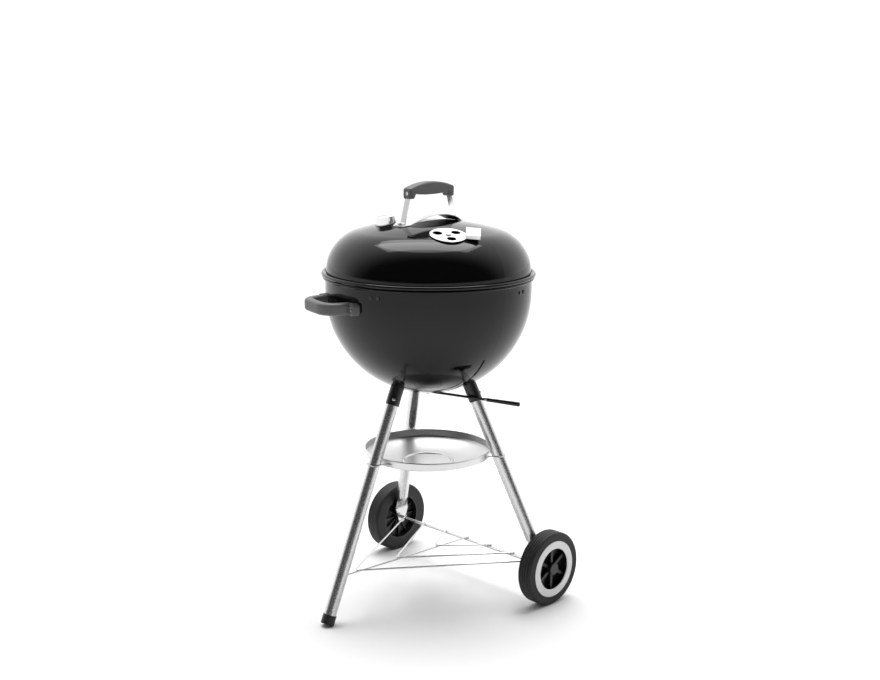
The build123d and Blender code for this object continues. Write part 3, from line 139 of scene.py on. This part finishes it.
@dataclass
class MaterialLibrary:
    """Builds each finish once and hands it out by slot name."""

    built: dict[str, bpy.types.Material] = field(default_factory=dict)

    def get(self, slot: str) -> bpy.types.Material:
        """Builds a slot's material, or returns the one already built.

        Args:
            slot: The record's material slot.

        Returns:
            Its material.
        """
        if slot not in self.built:
            self.built[slot] = self.make(LOOKS[slot])
        return self.built[slot]

    @staticmethod
    def make(finish: Finish) -> bpy.types.Material:
        """Makes the node tree: object coordinates drive a noise, and the noise drives colour, roughness and bump.

        Args:
            finish: The finish to build.

        Returns:
            The new material.
        """
        material = bpy.data.materials.new(f"look_{finish.slot}")
        material.use_nodes = True
        nodes, links = material.node_tree.nodes, material.node_tree.links
        nodes.clear()
        output = nodes.new("ShaderNodeOutputMaterial")
        shader = nodes.new("ShaderNodeBsdfPrincipled")
        links.new(shader.outputs["BSDF"], output.inputs["Surface"])
        shader.inputs["Metallic"].default_value = finish.metallic
        shader.inputs["IOR"].default_value = finish.bend
        shader.inputs["Coat Weight"].default_value = finish.coat
        shader.inputs["Coat Roughness"].default_value = COAT_ROUGHNESS
        shader.inputs["Transmission Weight"].default_value = finish.clear

        coords = nodes.new("ShaderNodeTexCoord")
        mapping = nodes.new("ShaderNodeMapping")
        mapping.inputs["Scale"].default_value = finish.grain.value
        links.new(coords.outputs["Object"], mapping.inputs["Vector"])
        noise = nodes.new("ShaderNodeTexNoise")
        noise.inputs["Scale"].default_value = 1.0
        noise.inputs["Detail"].default_value = 3.0
        links.new(mapping.outputs["Vector"], noise.inputs["Vector"])

        rough = nodes.new("ShaderNodeMapRange")
        rough.inputs["To Min"].default_value = finish.rough[0]
        rough.inputs["To Max"].default_value = finish.rough[1]
        links.new(noise.outputs["Fac"], rough.inputs["Value"])
        links.new(rough.outputs["Result"], shader.inputs["Roughness"])

        tone = nodes.new("ShaderNodeMapRange")
        tone.inputs["To Min"].default_value = finish.base * (1 - finish.spread)
        tone.inputs["To Max"].default_value = finish.base * (1 + finish.spread)
        colour = nodes.new("ShaderNodeCombineColor")
        links.new(noise.outputs["Fac"], tone.inputs["Value"])
        for channel in ("Red", "Green", "Blue"):
            links.new(tone.outputs["Result"], colour.inputs[channel])
        links.new(colour.outputs["Color"], shader.inputs["Base Color"])

        if finish.relief > 0:
            bump = nodes.new("ShaderNodeBump")
            bump.inputs["Strength"].default_value = finish.relief
            bump.inputs["Distance"].default_value = BUMP_DISTANCE
            links.new(noise.outputs["Fac"], bump.inputs["Height"])
            links.new(bump.outputs["Normal"], shader.inputs["Normal"])
        return material


def new_piece(name: str, mesh: bmesh.types.BMesh, material: bpy.types.Material) -> bpy.types.Object:
    """Turns a bmesh into a finished object at the origin.

    Args:
        name: The piece's name.
        mesh: Its geometry, in the row frame. It is freed.
        material: Its material.

    Returns:
        The linked object.
    """
    bmesh.ops.recalc_face_normals(mesh, faces=mesh.faces)
    data = bpy.data.meshes.new(name)
    mesh.to_mesh(data)
    mesh.free()
    data.materials.append(material)
    obj = bpy.data.objects.new(name, data)
    bpy.context.scene.collection.objects.link(obj)
    LOG.info("%s: %d faces", name, len(data.polygons))
    return obj


@dataclass
class FrameFinishes:
    """Dresses every CAD node in the finish of its slot."""

    frame: dict
    library: MaterialLibrary

    def build(self) -> None:
        """Puts each node's material on all its faces."""
        for entry in self.frame["record"]["subparts"]:
            node = self.frame["nodes"][entry["node"]]
            slot = REPAINTED.get(entry["node"], entry["material_slot"])
            material = self.library.get(slot)
            node.data.materials.clear()
            node.data.materials.append(material)
            LOG.info("%s wears %s", node.name, material.name)


@dataclass
class GaugeScale:
    """The tick marks on the thermometer's dial, a little above its face.

    Args:
        frame: The loaded frame.
        library: The materials.
        radius: Where the ticks end.
        ticks: How many there are.
        lift: Their height over the dial's middle plane.
        long_every: Every how many ticks one is long.
        lengths: The length of a long tick and of a short one.
        width: A tick's width.
        thick: A tick's thickness.
    """

    frame: dict
    library: MaterialLibrary
    radius: float = 0.0205
    ticks: int = 26
    lift: float = 0.00048
    long_every: int = 5
    lengths: tuple[float, float] = (0.0048, 0.0028)
    width: float = 0.0004
    thick: float = 0.00008

    def build(self) -> bpy.types.Object:
        """Builds the ticks as thin plates round most of the dial.

        Returns:
            The scale.
        """
        low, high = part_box("thermometer_dial")
        _, axis = joint_frame(self.frame, "needle_turn")
        centre = (Vector(low) + Vector(high)) / 2
        out = Vector((axis.x, axis.y, 0)).normalized()
        side = axis.cross(out).normalized()
        ahead = side.cross(axis).normalized()
        mesh = bmesh.new()
        for i in range(self.ticks):
            turn = math.radians(-10 + i * 10)
            reach = self.lengths[0] if i % self.long_every == 0 else self.lengths[1]
            along = ahead * math.cos(turn) + side * math.sin(turn)
            across = axis.cross(along)
            middle = centre + axis * self.lift + along * (self.radius - reach / 2)
            place = turned_place(along, across, axis, middle)
            size = Matrix.Diagonal((reach, self.width, self.thick, 1))
            bmesh.ops.create_cube(mesh, size=1, matrix=place @ size)
        scale = new_piece("gauge_scale", mesh, self.library.get("needle_paint"))
        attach(scale, "lid")
        return scale


def joint_frame(frame: dict, name: str) -> tuple[Vector, Vector]:
    """Looks up a hinge in the record.

    Args:
        frame: The loaded frame.
        name: The joint's name.

    Returns:
        Its pivot and its axis.
    """
    hinges = {joint["name"]: joint for joint in frame["record"]["behaviour"]["joints"]}
    return Vector(hinges[name]["pos_m"]), Vector(hinges[name]["axis"])


def turned_place(along: Vector, across: Vector, up: Vector, centre: Vector) -> Matrix:
    """Makes the matrix of a place from its three directions.

    Args:
        along: Its X direction.
        across: Its Y direction.
        up: Its Z direction.
        centre: Its origin.

    Returns:
        The matrix.
    """
    place = Matrix((along, across, up)).transposed().to_4x4()
    place.translation = centre
    return place


@dataclass
class DamperRibs:
    """The ribs across the top of the damper's tab.

    Args:
        frame: The loaded frame.
        library: The materials.
        azimuth: The direction the tab points in, in degrees from +X.
        count: How many ribs there are.
        reach: How far the tab's middle is from the damper's pivot.
        base: The height of the tab's underside over the lid.
        front: The tab's height at its low edge.
        rise: How much higher its other edge is.
        half_width: Half the tab's width.
        half_spread: How far the outer ribs are from its middle.
        size: A rib's length, width and height.
    """

    frame: dict
    library: MaterialLibrary
    azimuth: float = 45.0
    count: int = 7
    reach: float = 0.0535
    base: float = 0.0003
    front: float = 0.009
    rise: float = 0.007
    half_width: float = 0.014
    half_spread: float = 0.012
    size: tuple[float, float, float] = (0.027, 0.0014, 0.0012)

    def build(self) -> bpy.types.Object:
        """Builds the ribs as low bars along the tab, sunk into its sloping top.

        Returns:
            The ribs.
        """
        pivot, axis = joint_frame(self.frame, "damper_turn")
        turn = math.radians(self.azimuth)
        heading = Vector((math.cos(turn), math.sin(turn), 0))
        along = (heading - axis * heading.dot(axis)).normalized()
        across = axis.cross(along)
        mesh = bmesh.new()
        for i in range(self.count):
            aside = self.half_spread * (2 * i / (self.count - 1) - 1)
            slope = (aside + self.half_width) / (2 * self.half_width)
            height = self.base + self.front + self.rise * slope
            middle = pivot + along * self.reach + across * aside + axis * height
            place = turned_place(along, across, axis, middle)
            bmesh.ops.create_cube(mesh, size=1, matrix=place @ Matrix.Diagonal((*self.size, 1)))
        ribs = new_piece("damper_tab_ribs", mesh, self.library.get("sheet_aluminium"))
        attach(ribs, "lid_damper")
        return ribs


@dataclass
class TyreRings:
    """Two thin raised rings on a tyre's outer side wall.

    Args:
        frame: The loaded frame.
        library: The materials.
        side: 1 for the right wheel and -1 for the left.
        radii: The rings' radii.
        wire: The radius of their round section.
    """

    frame: dict
    library: MaterialLibrary
    side: int
    radii: tuple[float, float] = (0.0695, 0.0765)
    wire: float = 0.0006

    def build(self) -> bpy.types.Object:
        """Builds both rings as tori sunk halfway into the wall.

        Returns:
            The rings.
        """
        name = "right" if self.side > 0 else "left"
        pivot, _ = joint_frame(self.frame, f"wheel_{name}_spin")
        low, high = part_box(f"wheel_tyre_{name}")
        face = high[0] if self.side > 0 else low[0]
        mesh = bmesh.new()
        for radius in self.radii:
            add_ring(mesh, Vector((face, pivot.y, pivot.z)), radius, self.wire)
        rings = new_piece(f"tyre_rings_{name}", mesh, self.library.get("tyre_black"))
        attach(rings, f"wheel_{name}")
        return rings


def add_ring(mesh: bmesh.types.BMesh, centre: Vector, radius: float, wire: float) -> None:
    """Adds a closed round ring about the X direction.

    Args:
        mesh: Where it goes.
        centre: Its centre.
        radius: Its radius.
        wire: The radius of its round section.
    """
    rows = []
    for i in range(RING_STEPS):
        turn = 2 * math.pi * i / RING_STEPS
        row = []
        for j in range(SECTION_STEPS):
            tip = 2 * math.pi * j / SECTION_STEPS
            reach = radius + wire * math.cos(tip)
            offset = Vector((wire * math.sin(tip), reach * math.cos(turn), reach * math.sin(turn)))
            row.append(mesh.verts.new(centre + offset))
        rows.append(row)
    for i, row in enumerate(rows):
        ahead = rows[(i + 1) % RING_STEPS]
        for j in range(SECTION_STEPS):
            k = (j + 1) % SECTION_STEPS
            face = mesh.faces.new((row[j], row[k], ahead[k], ahead[j]))
            face.smooth = True


@dataclass(frozen=True)
class CameraSpec:
    """Where the camera stands and how it looks, in the row frame.

    Args:
        place: Its position in metres.
        turn: How far its stand is turned round the grill from straight in front, in degrees.
        yaw: How far it looks to the right of the grill's middle, in degrees.
        pitch: How far it looks down, in degrees.
        roll: Its roll, in degrees.
        lens: Its focal length in millimetres, over a 36 mm sensor.
    """

    place: tuple[float, float, float] = (2.09832, -2.04689, 1.21134)
    turn: float = 45.136
    yaw: float = 0.523
    pitch: float = 11.56
    roll: float = 0.384
    lens: float = 53.70

    def build(self) -> bpy.types.Object:
        """Makes the camera the scene's own.

        Returns:
            The camera.
        """
        yaw, pitch, roll = (math.radians(v) for v in (self.yaw, self.pitch, self.roll))
        forward = Vector((math.sin(yaw) * math.cos(pitch), math.cos(yaw) * math.cos(pitch), -math.sin(pitch)))
        right = Vector((math.cos(yaw), -math.sin(yaw), 0))
        up = right.cross(forward)
        level_right, level_up = right.copy(), up.copy()
        right = level_right * math.cos(roll) + level_up * math.sin(roll)
        up = level_up * math.cos(roll) - level_right * math.sin(roll)
        basis = Matrix((right, up, -forward)).transposed()
        spin = Matrix.Rotation(math.radians(self.turn), 3, "Z")
        data = bpy.data.cameras.new("main_camera")
        data.lens = self.lens
        data.sensor_width = SENSOR_WIDTH
        data.dof.use_dof = False
        camera = bpy.data.objects.new("main_camera", data)
        camera.matrix_world = Matrix.Translation(self.place) @ (spin @ basis).to_4x4()
        bpy.context.scene.collection.objects.link(camera)
        bpy.context.scene.camera = camera
        LOG.info("camera at %s", self.place)
        return camera


AIM = Vector((0, 0, 0.55))


@dataclass(frozen=True)
class Softbox:
    """A rectangular studio light aimed at the grill.

    Args:
        name: Its name.
        azimuth: Its direction from the grill, in degrees from +X.
        height: Its height in metres.
        reach: Its level distance in metres.
        size: Its width and height in metres.
        power: Its power in watts.
    """

    name: str
    azimuth: float
    height: float
    reach: float
    size: tuple[float, float]
    power: float

    def build(self) -> bpy.types.Object:
        """Makes the light.

        Returns:
            The light's object.
        """
        data = bpy.data.lights.new(self.name, "AREA")
        data.shape = "RECTANGLE"
        data.size, data.size_y = self.size
        data.energy = self.power
        turn = math.radians(self.azimuth)
        place = Vector((self.reach * math.cos(turn), self.reach * math.sin(turn), self.height))
        light = bpy.data.objects.new(self.name, data)
        light.location = place
        light.rotation_euler = (AIM - place).to_track_quat("-Z", "Y").to_euler()
        bpy.context.scene.collection.objects.link(light)
        LOG.info("%s at %s", self.name, tuple(place))
        return light


SOFTBOXES = (
    Softbox("top_box", 135.0, 3.4, 0.6, (3.0, 1.4), 45.0),
)


@dataclass
class Studio:
    """The pale floor, the lights and the surround that is bright only behind the grill.

    Args:
        library: The materials.
        facing: The azimuth of the bright side, behind the grill from the camera.
        lean: How much the bright side leans upward.
        blend: How far round to the dark side and to the bright side the change reaches.
        glow: The surround's strength on its dark side and on its bright side.
        sun: The overhead light's strength.
        sun_spread: How wide the overhead light is, in degrees.
        sun_tilt: How far it tilts about X and Y, in degrees.
        floor_radius: The floor's radius in metres.
    """

    library: MaterialLibrary
    facing: float = 135.1
    lean: float = 0.25
    blend: tuple[float, float] = (-0.35, 0.55)
    glow: tuple[float, float] = (0.06, 1.35)
    sun: float = 1.7
    sun_spread: float = 50.0
    sun_tilt: tuple[float, float] = (-12.0, -14.0)
    floor_radius: float = 60.0

    def shade(self, tree: bpy.types.NodeTree) -> None:
        """Makes the surround bright behind the grill and dark in front of it, as a studio's black screens do.

        Args:
            tree: The world's node tree.
        """
        turn = math.radians(self.facing)
        coords = tree.nodes.new("ShaderNodeTexCoord")
        facing = tree.nodes.new("ShaderNodeVectorMath")
        facing.operation = "DOT_PRODUCT"
        facing.inputs[1].default_value = (math.cos(turn), math.sin(turn), self.lean)
        ramp = tree.nodes.new("ShaderNodeMapRange")
        ramp.interpolation_type = "SMOOTHSTEP"
        ramp.inputs["From Min"].default_value, ramp.inputs["From Max"].default_value = self.blend
        ramp.inputs["To Min"].default_value, ramp.inputs["To Max"].default_value = self.glow
        tree.links.new(coords.outputs["Generated"], facing.inputs[0])
        tree.links.new(facing.outputs["Value"], ramp.inputs["Value"])
        tree.links.new(ramp.outputs["Result"], tree.nodes["Background"].inputs["Strength"])
        tree.nodes["Background"].inputs["Color"].default_value = (1, 1, 1, 1)

    def build(self) -> None:
        """Builds the floor, the world and the lights."""
        mesh = bmesh.new()
        bmesh.ops.create_circle(mesh, cap_ends=True, segments=96, radius=self.floor_radius)
        floor = new_piece("studio_floor", mesh, self.library.make(FLOOR_FINISH))
        world = bpy.data.worlds.new("studio_surround")
        world.use_nodes = True
        self.shade(world.node_tree)
        bpy.context.scene.world = world
        bpy.context.scene.view_settings.view_transform = "Standard"
        sun = bpy.data.lights.new("overhead", "SUN")
        sun.energy = self.sun
        sun.angle = math.radians(self.sun_spread)
        overhead = bpy.data.objects.new("overhead", sun)
        overhead.rotation_euler = (*(math.radians(v) for v in self.sun_tilt), 0)
        bpy.context.scene.collection.objects.link(overhead)
        for box in SOFTBOXES:
            box.build()


def main() -> None:
    """Builds the whole scene."""
    logging.basicConfig(level=logging.INFO, format="%(name)s: %(message)s")
    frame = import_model()
    library = MaterialLibrary()
    FrameFinishes(frame, library).build()
    GaugeScale(frame, library).build()
    DamperRibs(frame, library).build()
    for side in (1, -1):
        TyreRings(frame, library, side).build()
    Studio(library).build()
    CameraSpec().build()


if __name__ == "__main__":
    main()
